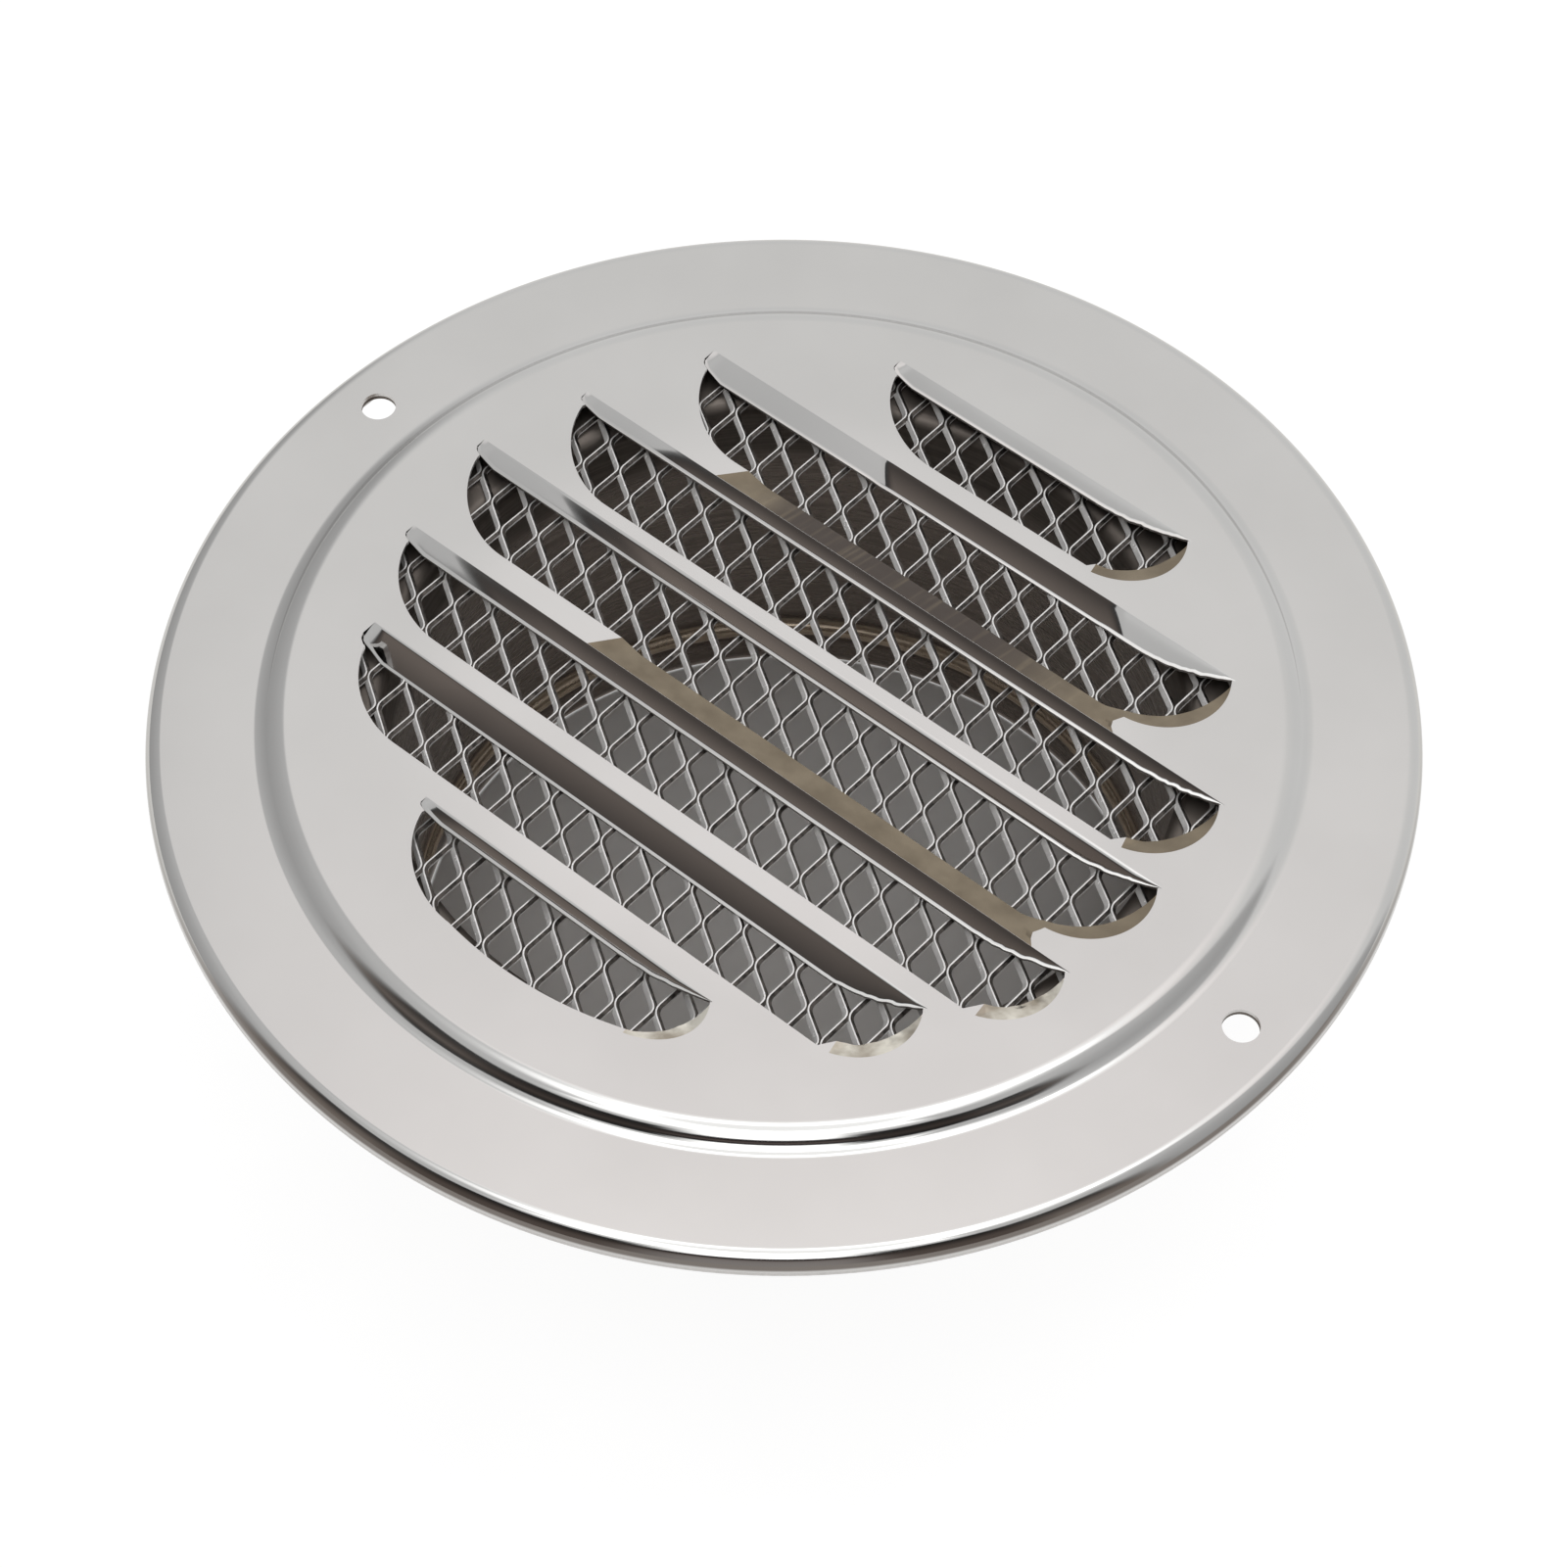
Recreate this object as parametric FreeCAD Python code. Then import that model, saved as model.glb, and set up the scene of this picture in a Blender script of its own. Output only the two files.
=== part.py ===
import FreeCAD, Part
import math
import os
from FreeCAD import Vector

# Driving dimensions in millimetres and degrees

# Sheet that the face and the spigot are pressed from
sheet = 0.5

# Flange and its rolled rim
flange_diameter = 150.0
flange_width = 12.8
rim_radius = 2.0
rim_flat_count = 4

# Raised panel and the ogee step around it
step_width = 3.7
panel_raise = 1.5
step_slope = 38.0

# Screw holes through both flanges
screw_hole_diameter = 4.3
screw_edge_distance = 7.1
screw_hole_count = 2

# Louvres: rows of D-shaped openings in the panel, slightly turned from the screw holes
louvre_pitch = 14.55
louvre_turn = 1.9
louvre_field_margin = 6.3
louvre_row_margin = 3.4
far_edge = 5.4
slat_width = 0.95
end_radius = 9.0
end_flat_count = 4

# Lip bent down along the straight edge of each opening
lip_depth = 2.0
lip_bend_radius = 1.4
lip_bend_angle = 70.0
lip_bend_flat_count = 2
lip_end_rise = 7.0
lip_end_flat_count = 3
lip_tip_depth = 0.3

# Sill pressed down around the rounded edge of each opening
sill_width = 2.0
sill_drop = 0.7
sill_tip_width = 0.5
sill_corner_angle = -35.0

# Spigot that goes into the duct
spigot_diameter = 95.6
spigot_depth = 53.6
spigot_bend_radius = 2.0
spigot_bend_flat_count = 2
bead_height = 6.5
bead_radius = 1.2
bead_angle = 54.0
seat_step_width = 2.4

# Expanded metal screen that lies on the spigot's seat
screen_thickness = 0.9
screen_gap = 0.3
screen_edge_clearance = 0.4
strand_pitch = 11.2
strand_width = 1.5
strand_angle = 60.0
strand_lean = 20.0
screen_border = 1.2
screen_turn = -59.3

# Levels and radii that follow from the driving dimensions
flange_top = spigot_depth
panel_top = flange_top + panel_raise
lip_bottom = panel_top - lip_depth - sheet * math.cos(math.radians(lip_bend_angle))
rim_start_radius = flange_diameter / 2 - rim_radius
step_foot_radius = flange_diameter / 2 - flange_width
screw_circle_radius = flange_diameter / 2 - screw_edge_distance
panel_radius = step_foot_radius - step_width
louvre_field_radius = panel_radius - louvre_field_margin
outermost_row = math.sqrt(louvre_field_radius ** 2 - end_radius ** 2) - louvre_row_margin
rows_each_side = int(outermost_row / louvre_pitch)
near_edge = louvre_pitch - far_edge - slat_width
spigot_flange_top = flange_top - sheet
seat_top = lip_bottom - screen_gap - screen_thickness
spigot_bore_radius = spigot_diameter / 2 - sheet
seat_outer_radius = panel_radius - seat_step_width / 2
screen_radius = seat_outer_radius - screen_edge_clearance
axis_point = Vector(0, 0, 0)
axis_up = Vector(0, 0, 1)


def turned(vector, degrees):
    """Turn a vector of the section plane, given as (across, up)."""
    angle = math.radians(degrees)
    across = vector[0] * math.cos(angle) - vector[1] * math.sin(angle)
    up = vector[0] * math.sin(angle) + vector[1] * math.cos(angle)
    return (across, up)


def strip_side(start, heading, moves, side, place):
    """Points along one side of a bent strip.

    A move is ("run", length), ("ramp", length, rise) or ("bend", radius, degrees, flats).
    Left turns and rises are positive, and a ramp keeps the heading that it starts with.
    A bend is made of that many flats, with their corners on the true arc.
    The side lies that far to the right of the path that the moves describe.
    """
    point = start

    def on_side(p, h):
        return place(p[0] + side * h[1], p[1] - side * h[0])

    points = [on_side(point, heading)]
    for move in moves:
        if move[0] != "bend":
            length = move[1]
            rise = move[2] if move[0] == "ramp" else 0.0
            across = point[0] + heading[0] * length - heading[1] * rise
            up = point[1] + heading[1] * length + heading[0] * rise
            point = (across, up)
            points.append(on_side(point, heading))
            continue
        radius, degrees, flats = move[1:]
        reach = math.copysign(radius, degrees)
        centre = (point[0] - heading[1] * reach, point[1] + heading[0] * reach)
        for flat in range(flats):
            spoke = turned((point[0] - centre[0], point[1] - centre[1]), degrees / flats)
            point = (centre[0] + spoke[0], centre[1] + spoke[1])
            heading = turned(heading, degrees / flats)
            points.append(on_side(point, heading))
    return points


def bent_strip(start, heading, moves, place):
    """Section face of the sheet, bent along a path on its upper side."""
    upper = strip_side(start, heading, moves, 0.0, place)
    lower = strip_side(start, heading, moves, sheet, place)
    return Part.Face(Part.makePolygon(upper + lower[::-1] + upper[:1]))


def ogee_down(width, drop, slope):
    """Two equal bends and a slope that carry the sheet down by drop over width."""
    across = math.cos(math.radians(slope))
    along = math.sin(math.radians(slope))
    radius = (width * along - drop * across) / (2 * (1 - across))
    run = (width - 2 * radius * along) / across
    return [("bend", radius, -slope, 1), ("run", run), ("bend", radius, slope, 1)]


def in_radial_plane(across, up):
    return Vector(across, 0, up)


def turned_part(section):
    return section.revolve(axis_point, axis_up, 360)


def screw_holes():
    """Cylinders that drill both flanges."""
    drills = []
    for index in range(screw_hole_count):
        drill = Part.makeCylinder(
            screw_hole_diameter / 2,
            4 * rim_radius,
            Vector(screw_circle_radius, 0, flange_top - 2 * rim_radius),
        )
        drill.rotate(axis_point, axis_up, index * 360.0 / screw_hole_count)
        drills.append(drill)
    return Part.makeCompound(drills)


def louvre_contour(half_length):
    """Corner points of an opening at panel level, with the centre of its right-hand end arc."""
    centre_y = end_radius - near_edge
    reach = math.sqrt(end_radius ** 2 - (far_edge - centre_y) ** 2)
    return half_length - reach, centre_y


def end_point(centre_x, centre_y, radius, degrees, level):
    angle = math.radians(degrees)
    return Vector(centre_x + radius * math.cos(angle), centre_y + radius * math.sin(angle), level)


def outer_end(half_length):
    """Points round the right-hand end, from the tip on the straight edge to the near edge."""
    centre_x, centre_y = louvre_contour(half_length)
    tip = Vector(half_length, far_edge, 0)
    tip_angle = math.degrees(math.asin((far_edge - centre_y) / end_radius))
    middle = end_point(centre_x, centre_y, end_radius, (tip_angle - 90) / 2, 0)
    foot = Vector(centre_x, -near_edge, 0)
    return Part.Arc(tip, middle, foot).discretize(end_flat_count + 1)


def inner_end(half_length):
    """Points along the free edge of the pressed-down sill at the right-hand end."""
    centre_x, centre_y = louvre_contour(half_length)
    tip_drop = sill_drop * sill_tip_width / sill_width
    tip = Vector(half_length - sill_tip_width, far_edge - sill_tip_width, -tip_drop)
    corner = end_point(centre_x, centre_y, end_radius - sill_width, sill_corner_angle, -sill_drop)
    foot = Vector(centre_x, sill_width - near_edge, -sill_drop)
    return Part.Arc(tip, corner, foot).discretize(end_flat_count + 1)


def with_mirrored(points):
    """Points of a right-hand end, followed by those of the left-hand end in return order."""
    return points + [Vector(-point.x, point.y, point.z) for point in reversed(points)]


def louvre_opening(half_length):
    """Through cut of one opening, as a prism on its contour at panel level."""
    points = with_mirrored(outer_end(half_length))
    face = Part.Face(Part.makePolygon(points + points[:1]))
    face.translate(Vector(0, 0, sheet))
    return face.extrude(Vector(0, 0, -3 * sheet))


def louvre_lip(half_length):
    """Lip bent down along the straight edge, with a free edge that rises to the panel at both tips."""
    bend_drop = lip_bend_radius * (1 - math.cos(math.radians(lip_bend_angle)))
    flat = (lip_depth - bend_drop) / math.sin(math.radians(lip_bend_angle))
    moves = [("bend", lip_bend_radius, -lip_bend_angle, lip_bend_flat_count), ("run", flat)]

    def across_row(across, up):
        return Vector(-half_length, far_edge - across, up)

    band = bent_strip((0.0, 0.0), (1.0, 0.0), moves, across_row).extrude(Vector(2 * half_length, 0, 0))
    clear = lip_depth + sheet
    low = Vector(half_length - lip_end_rise, 0, -clear)
    middle = Vector(half_length - lip_end_rise / 3, 0, -lip_depth * 2 / 3)
    tip = Vector(half_length, 0, -lip_tip_depth)
    rise = Part.Arc(low, middle, tip).discretize(lip_end_flat_count + 1)
    points = with_mirrored(rise + [Vector(half_length, 0, clear)])
    keep = Part.Face(Part.makePolygon(points + points[:1]))
    keep.translate(Vector(0, far_edge - 3 * lip_depth, 0))
    return band.common(keep.extrude(Vector(0, 4 * lip_depth, 0)))


def louvre_sill(half_length):
    """Pressed-down edge along the near side and round both ends, as one piece per flat."""
    outer = with_mirrored(outer_end(half_length))
    inner = with_mirrored(inner_end(half_length))
    pieces = []
    for index in range(len(outer) - 1):
        outer_edge = Part.LineSegment(outer[index], outer[index + 1]).toShape()
        inner_edge = Part.LineSegment(inner[index], inner[index + 1]).toShape()
        pieces.append(Part.makeRuledSurface(outer_edge, inner_edge).extrude(Vector(0, 0, -sheet)))
    return pieces


def placed_on_panel(shape, row):
    """Carry a louvre's shape from its own centre line to its row on the panel."""
    shape.translate(Vector(0, row * louvre_pitch, panel_top))
    shape.rotate(axis_point, axis_up, louvre_turn)
    return shape


def face_plate():
    """Pressed face: panel, ogee step, flange and rolled rim in one sheet, with its louvres."""
    flange_run = rim_start_radius - step_foot_radius
    return_run = rim_radius - 2 * sheet
    moves = [("run", panel_radius)]
    moves += ogee_down(step_width, panel_raise, step_slope)
    moves += [("run", flange_run), ("bend", rim_radius, -180.0, rim_flat_count)]
    moves += [("bend", rim_radius, -90.0, 1), ("run", return_run)]
    plate = turned_part(bent_strip((0.0, panel_top), (1.0, 0.0), moves, in_radial_plane))
    plate = plate.cut(screw_holes())
    openings = []
    formed = []
    for row in range(-rows_each_side, rows_each_side + 1):
        reach = abs(row) * louvre_pitch + louvre_row_margin
        half_length = math.sqrt(louvre_field_radius ** 2 - reach ** 2)
        openings.append(placed_on_panel(louvre_opening(half_length), row))
        for shape in [louvre_lip(half_length)] + louvre_sill(half_length):
            formed.append(placed_on_panel(shape, row))
    return plate.cut(Part.makeCompound(openings)).fuse(formed).removeSplitter()


def spigot():
    """Drawn collar: tube with a rolled bead, a seat for the screen and a back flange."""
    seat_rise = spigot_flange_top - seat_top
    bead_length = 4 * bead_radius * math.sin(math.radians(bead_angle))
    above_bead = seat_top - spigot_bend_radius - bead_height - bead_length / 2
    bend_end_radius = spigot_bore_radius + spigot_bend_radius
    seat_run = seat_outer_radius - bend_end_radius
    flange_run = rim_start_radius - seat_outer_radius - seat_step_width
    moves = [("run", bead_height - bead_length / 2)]
    moves += [("bend", bead_radius, turn, 1) for turn in (bead_angle, -2 * bead_angle, bead_angle)]
    moves += [("run", above_bead)]
    moves += [("bend", spigot_bend_radius, -90.0, spigot_bend_flat_count), ("run", seat_run)]
    moves += [("ramp", seat_step_width, seat_rise), ("run", flange_run)]
    collar = turned_part(bent_strip((spigot_bore_radius, 0.0), (0.0, 1.0), moves, in_radial_plane))
    return collar.cut(screw_holes())


def screen_gap_prism():
    """One diamond opening of the screen, leaning as the strands of expanded metal do."""
    half_angle = math.radians(strand_angle / 2)
    inset = strand_width / (2 * math.sin(2 * half_angle))
    half_long = (strand_pitch - 2 * inset) * math.cos(half_angle)
    half_short = (strand_pitch - 2 * inset) * math.sin(half_angle)
    lean = screen_thickness * math.tan(math.radians(strand_lean))
    corners = [(half_long, 0), (0, half_short), (-half_long, 0), (0, -half_short)]
    points = [Vector(x, y - lean / 2, 0) for x, y in corners]
    face = Part.Face(Part.makePolygon(points + points[:1]))
    return face.extrude(Vector(0, lean, screen_thickness))


def insect_screen():
    """Disc of expanded metal: one wall with diamond openings between leaning strands."""
    half_angle = math.radians(strand_angle / 2)
    step_long = strand_pitch * math.cos(half_angle)
    step_short = strand_pitch * math.sin(half_angle)
    open_radius = screen_radius - screen_border
    prism = screen_gap_prism()
    gaps = []
    reach = int(screen_radius / step_short) + 1
    for column in range(-reach, reach + 1):
        for line in range(-reach, reach + 1):
            if (column + line) % 2:
                continue
            x = column * step_long
            y = line * step_short
            if math.hypot(x, y) < open_radius:
                gaps.append(prism.translated(Vector(x, y, 0)))
    inside = Part.makeCylinder(open_radius, screen_thickness)
    disc = Part.makeCylinder(screen_radius, screen_thickness)
    screen = disc.cut(Part.makeCompound(gaps).common(inside))
    screen.rotate(axis_point, axis_up, screen_turn)
    screen.translate(Vector(0, 0, seat_top))
    print("screen openings:", len(gaps))
    return screen


os.makedirs("parts", exist_ok=True)
builders = {"face_plate": face_plate, "spigot": spigot, "insect_screen": insect_screen}
for name, build in builders.items():
    shape = build()
    print(name, "valid:", shape.isValid(), "solids:", len(shape.Solids), "volume:", round(shape.Volume, 1))
    shape.exportStep("parts/" + name + ".step")
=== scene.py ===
import math
import bpy
from mathutils import Matrix, Vector, noise
from mathutils.geometry import delaunay_2d_cdt, tessellate_polygon


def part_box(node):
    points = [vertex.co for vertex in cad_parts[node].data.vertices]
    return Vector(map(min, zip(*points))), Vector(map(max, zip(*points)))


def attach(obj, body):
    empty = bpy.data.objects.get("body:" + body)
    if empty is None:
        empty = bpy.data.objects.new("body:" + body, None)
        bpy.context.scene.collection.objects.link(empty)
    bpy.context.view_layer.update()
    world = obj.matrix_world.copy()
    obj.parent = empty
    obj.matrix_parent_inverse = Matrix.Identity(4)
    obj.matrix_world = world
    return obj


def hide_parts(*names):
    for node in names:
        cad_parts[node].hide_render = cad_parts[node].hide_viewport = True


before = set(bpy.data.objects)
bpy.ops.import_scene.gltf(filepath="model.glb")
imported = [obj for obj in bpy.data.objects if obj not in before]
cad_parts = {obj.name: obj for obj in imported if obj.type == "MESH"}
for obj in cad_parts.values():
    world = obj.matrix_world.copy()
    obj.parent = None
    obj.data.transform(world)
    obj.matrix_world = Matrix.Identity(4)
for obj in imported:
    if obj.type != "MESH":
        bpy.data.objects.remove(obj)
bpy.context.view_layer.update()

# Sizes below are millimetres and degrees in the CAD frame: X through the screw holes, Z up.
MM = 0.001


def box_mm(node):
    low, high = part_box(node)
    return low / MM, high / MM


# The rim's skirt stops this far above the solid's, as in the photo
SKIRT_GAP = 0.8

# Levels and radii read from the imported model
face_low, face_high = box_mm("face_plate")
spigot_low, spigot_high = box_mm("spigot")
screen_low, screen_high = box_mm("insect_screen")
PANEL_TOP = face_high.z
FLANGE_RADIUS = face_high.x
RIM_BOTTOM = face_low.z + SKIRT_GAP
BACK_FLANGE_TOP = spigot_high.z
SCREEN_RADIUS = screen_high.x
SCREEN_MIDDLE = (screen_low.z + screen_high.z) / 2
SEAT_TOP = screen_low.z

# Sheet, flange, rolled rim and step
SHEET = 0.5
FLANGE_TOP = BACK_FLANGE_TOP + SHEET
RIM_RADIUS = 2.0
RIM_CURL_RADIUS = 0.8
RIM_TUCK_RADIUS = 71.0
STEP_FOOT_RADIUS = 62.2
STEP_CROWN_BEND = 3.4
STEP_FOOT_BEND = 2.3
SCREW_CIRCLE_RADIUS = 67.9
SCREW_HOLE_RADIUS = 2.15

# Segments round the axis and round a hole
FACE_SEGMENTS = 256
SPIGOT_SEGMENTS = 192
HOLE_SEGMENTS = 48

# Louvres, in the frame turned by LOUVRE_TURN: left tip, right tip, bend line and near edge of each row
LOUVRE_TURN = 1.9
ROW_TIPS = (
    (-21.7, 23.3), (-40.7, 39.9), (-48.3, 49.3), (-52.8, 50.8), (-50.1, 49.6), (-43.4, 40.5), (-21.3, 21.7),
)
ROW_BENDS = (48.9, 35.2, 19.8, 6.0, -9.7, -23.5, -38.1)
ROW_NEAR_EDGES = (37.7, 22.9, 7.6, -6.4, -21.0, -35.0, -49.0)
LAST_ROW_EDGE_RADIUS = 49.8
LEFT_END_LENGTH = 13.0
LEFT_END_POWER = 1.08
LEFT_END_INSET = 0.5

# Lip of each row: height as the photo's view shows it, bend radius, hollowness, and slope along the row as
# (place, degrees)
LIP_HEIGHTS = (2.5, 3.6, 2.15, 2.95, 2.75, 4.15, 2.05)
LIP_BENDS = (0.3, 0.3, 0.3, 0.9, 0.3, 0.5, 0.7)
LIP_HOLLOWS = (1, 1, 1, 1, 1, -2.5, 1)
LIP_SLOPES = (
    ((-22, 24), (24, 24)),
    ((-41, 24), (-14, 25), (-12, 44), (21, 45), (24, 25), (40, 24)),
    ((-48, 24), (-38, 25), (-30, 38), (-20, 43), (50, 43)),
    ((-53, 24), (-44, 25), (-35, 36), (-25, 50), (51, 52)),
    ((-50, 24), (-46, 25), (-39, 36), (-28, 41), (50, 43)),
    ((-44, 41), (-34, 41), (-25, 37.5), (41, 37)),
    ((-21, 30), (-14, 48), (22, 50)),
)
# How far the slope's changes lean along the row from the top of the lip to its bottom
LIP_SHEARS = (0, 2, 0, 6.5, 6, 0, 0)
# Thin turned edge along the bottom of a lip, with a last short length that turns down again
LIP_EDGE_WIDTH = 0.26
LIP_EDGE_SLOPE = 8.0
LIP_EDGE_TURN = 0.2
LIP_LAST_LENGTH = 0.06
LIP_LAST_SLOPE = 50.0
LIP_CUT_LEAN = 0.9  # radians
# Tongue past the left tip, how far the panel's edge follows it, lengths over which the height rises from the
# two tips, least sizes, and how uneven the right-hand end is
LIP_TONGUE = 0.3
LIP_TIP_LENGTH = 0.9
LIP_LEFT_RISE = 3.5
LIP_RIGHT_RISE = 13.0
LIP_LEAST_HEIGHT = 0.12
LIP_LEAST_FLAT = 0.1
LIP_RAGGED = 0.22
# The lip starts at the left tip with this share of its slope, and has all of it after the blend
LIP_TIP_SLOPE = 0.15
LIP_BLEND = 2.2
# A lip with a bend sharper than this starts at the bend line with a share of its slope
LIP_CRISP_BEND = 0.4
LIP_CREASE_SHARE = 0.78
# Slopes at which a lip starts to be hollow and is fully so
LIP_HOLLOW_START = 28
LIP_HOLLOW_FULL = 40
# Parts of a lip's section, steps of its bend, and spacing of the sections along the row
LIP_PARTS = 6
LIP_BEND_STEPS = 6
LIP_SPACING = 0.5
# How much of a length straight down shows in the photo's view, against one across the lip
SEEN_DOWN = 0.556

# Materials of the face, in the order of face_materials(); the tan and cream ones are painted reflections and
# the shaded one is painted shade
SHEET_FINISH, EDGE_FINISH, PAINTED_TAN_REFLECTION, PAINTED_CREAM_REFLECTION, SHADED_FINISH = range(5)

# Pressed-down crescents at the right-hand ends: slope in degrees, ripple, length along the near edge and
# drop below it. The crease is part of an ellipse about a centre.
CRESCENT_SLOPES = (17, 16, 18, 16, 21, 21, 21)
CRESCENT_RIPPLES = (0.015, 0.015, 0.015, 0.015, 0.1, 0.1, 0.1)
CRESCENT_LENGTHS = (6.5, 7.0, 5.5, 7.0, 4.6, 4.8, 5.0)
CRESCENT_DROPS = (0.6, 0.5, 0.5, 0.4, 0.5, 0.5, 1.0)
CRESCENT_CENTRE = 8.2
CRESCENT_CENTRE_SHARE = 0.37
CRESCENT_HALF_WIDTH = 9.0
# Tone of each row's pressed part: a painted tan or cream reflection, and painted shade on the second row
PRESSED_MATERIALS = (
    PAINTED_TAN_REFLECTION, SHADED_FINISH, PAINTED_TAN_REFLECTION, PAINTED_TAN_REFLECTION, PAINTED_CREAM_REFLECTION, PAINTED_CREAM_REFLECTION, PAINTED_CREAM_REFLECTION,
)
# Free edge of a crescent, and its unevenness
FREE_END_LENGTH = 11.0
BURR = 0.12
# Rows whose crescent runs on along the whole slat, with the place where it begins, and its slanted left end
TILTED_SLATS = {1: -27.5, 3: -22.3}
SLANT_RUN = 2.6
SLANT_POINTS = 3
SLAT_FADE = 3.0
RIDGE_GAP = 0.02
# Finger where the slat's crease leaves the crescent: distances back from the tip and down from the edge
FINGER = ((7.2, 0.8), (7.65, 1.7), (7.3, 2.5))
FINGER_FOOT = 6.6
# Spacing of points inside a pressed part, and their least distance from its outline as a share of that
FILL_STEP = 0.5
FILL_MARGIN = 0.6
# The slope is measured over this reach, and for a point of the outline this far inside it
PROBE_REACH = 0.04
PROBE_INSET = 0.1
# Spacing of points along the creases and edges
SLAT_SPACING = 1.5
BLUNT_SPACING = 0.3
FAR_SPACING = 2.0
NEAR_SPACING = 1.0

# Expanded metal screen: two strand directions, one knuckle and the strand's section
STRAND_DOWN = Vector((-0.044, -4.777))
STRAND_SLANT = Vector((4.074, -2.523))
KNUCKLE = Vector((-47.41, -0.93))
STRAND_WIDTH = 0.86
STRAND_THICKNESS = 0.72
SLANT_LEAN = 50.0
DOWN_LEAN = 60.0
KNUCKLE_OFFSET = -0.04
CORNER_RADIUS = 0.85
CORNER_STEPS = 4
# Materials of the screen: faces of the strands and their sheared sides, which are near black in painted
# shade
STRAND_FINISH, SHEARED_PAINTED_SHADE = range(2)
# Corners of the strand's section as shares of half its width and half its thickness
STRAND_RING = ((1, -0.7), (1, 0.6), (0.8, 1), (-0.8, 1), (-1, 0.7), (-1, -0.7), (-0.7, -1), (0.7, -1))

# Spigot
SPIGOT_RADIUS = 47.8
SPIGOT_BEND = 2.0
BEAD_HEIGHT = 6.5
BEAD_BEND = 1.2
BEAD_ANGLE = 54.0
SEAT_RADIUS = 57.3
SEAT_STEP_WIDTH = 2.4
BACK_FLANGE_RADIUS = 73.0

# Camera, measured from the photo
CAMERA_AZIMUTH = 41.90
CAMERA_ELEVATION = 53.16
CAMERA_DISTANCE = 438.3
CAMERA_LENS = 85.56
CAMERA_TILT = 0.0232

FRONT = Vector((math.sin(math.radians(CAMERA_AZIMUTH)), -math.cos(math.radians(CAMERA_AZIMUTH)), 0))
LEFT = Vector((FRONT.y, -FRONT.x, 0))
UP = Vector((0, 0, 1))


# Mesh building

class Surface:
    """Patches of one piece, each with its own points and smooth normals."""

    def __init__(self):
        self.points = []
        self.normals = []
        self.faces = []
        self.materials = []

    def add(self, points, normals, faces, material=0):
        """Add a patch, with each face turned to the side its normals point to."""
        start = len(self.points)
        self.points += points
        self.normals += normals
        for face in faces:
            a, b, c = (points[face[i]] for i in (0, 1, -1))
            backwards = (b - a).cross(c - a).dot(normals[face[0]]) < 0
            self.faces.append([start + index for index in (reversed(face) if backwards else face)])
        self.materials += [material] * len(faces)

    def add_grid(self, rows, normal_rows, material=0):
        width = len(rows[0])
        faces = []
        for i in range(len(rows) - 1):
            for j in range(width - 1):
                corner = i * width + j
                faces.append((corner, corner + 1, corner + width + 1, corner + width))
        self.add([p for row in rows for p in row], [n for row in normal_rows for n in row], faces, material)

    def build(self, name, materials):
        mesh = bpy.data.meshes.new(name)
        mesh.from_pydata([p * MM for p in self.points], [], self.faces)
        for material in materials:
            mesh.materials.append(material)
        mesh.polygons.foreach_set("material_index", self.materials)
        mesh.polygons.foreach_set("use_smooth", [True] * len(self.faces))
        mesh.update()
        mesh.normals_split_custom_set_from_vertices([n.normalized() for n in self.normals])
        piece = bpy.data.objects.new(name, mesh)
        bpy.context.scene.collection.objects.link(piece)
        return piece


def smooth(value, low, high):
    """Eased share of the way from low to high."""
    share = min(max((value - low) / (high - low), 0.0), 1.0)
    return share * share * (3 - 2 * share)


def between(knots, place):
    """Value at a place, blended smoothly between the knots on its two sides."""
    if place <= knots[0][0]:
        return knots[0][1]
    for (low, first), (high, second) in zip(knots, knots[1:]):
        if place <= high:
            return first + (second - first) * smooth(place, low, high)
    return knots[-1][1]


def bent_path(start, heading, moves, bend_step=6.0):
    """Points (radius, height) of a section with the direction of its upper side's normal, in degrees."""
    radius, height = start
    path = [(radius, height, heading + 90)]
    for move in moves:
        if move[0] == "run":
            radius += move[1] * math.cos(math.radians(heading))
            height += move[1] * math.sin(math.radians(heading))
            path.append((radius, height, heading + 90))
            continue
        bend, turn = move[1:]
        reach = math.copysign(bend, turn)
        centre_r = radius - reach * math.sin(math.radians(heading))
        centre_z = height + reach * math.cos(math.radians(heading))
        count = max(2, round(abs(turn) / bend_step))
        for step in range(1, count + 1):
            angle = math.radians(heading + turn * step / count)
            radius = centre_r + reach * math.sin(angle)
            height = centre_z - reach * math.cos(angle)
            path.append((radius, height, math.degrees(angle) + 90))
        heading += turn
    return path


def revolve(surface, path, side, segments=FACE_SEGMENTS, material=0):
    """Turn a section about the axis: its upper side, or its lower side one sheet away."""
    rows = []
    normal_rows = []
    for index in range(segments + 1):
        angle = 2 * math.pi * index / segments
        out = Vector((math.cos(angle), math.sin(angle), 0))
        points = []
        normals = []
        for radius, height, normal in path:
            lean = math.radians(normal)
            facing = out * math.cos(lean) + UP * math.sin(lean)
            points.append(out * radius + UP * height - facing * (SHEET if side < 0 else 0))
            normals.append(facing * side)
        rows.append(points if side > 0 else points[::-1])
        normal_rows.append(normals if side > 0 else normals[::-1])
    surface.add_grid(rows[::-1], normal_rows[::-1], material)


def circle(radius, count, centre=(0.0, 0.0)):
    turn = 2 * math.pi / count
    return [
        Vector((centre[0] + radius * math.cos(i * turn), centre[1] + radius * math.sin(i * turn)))
        for i in range(count)
    ]


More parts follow.
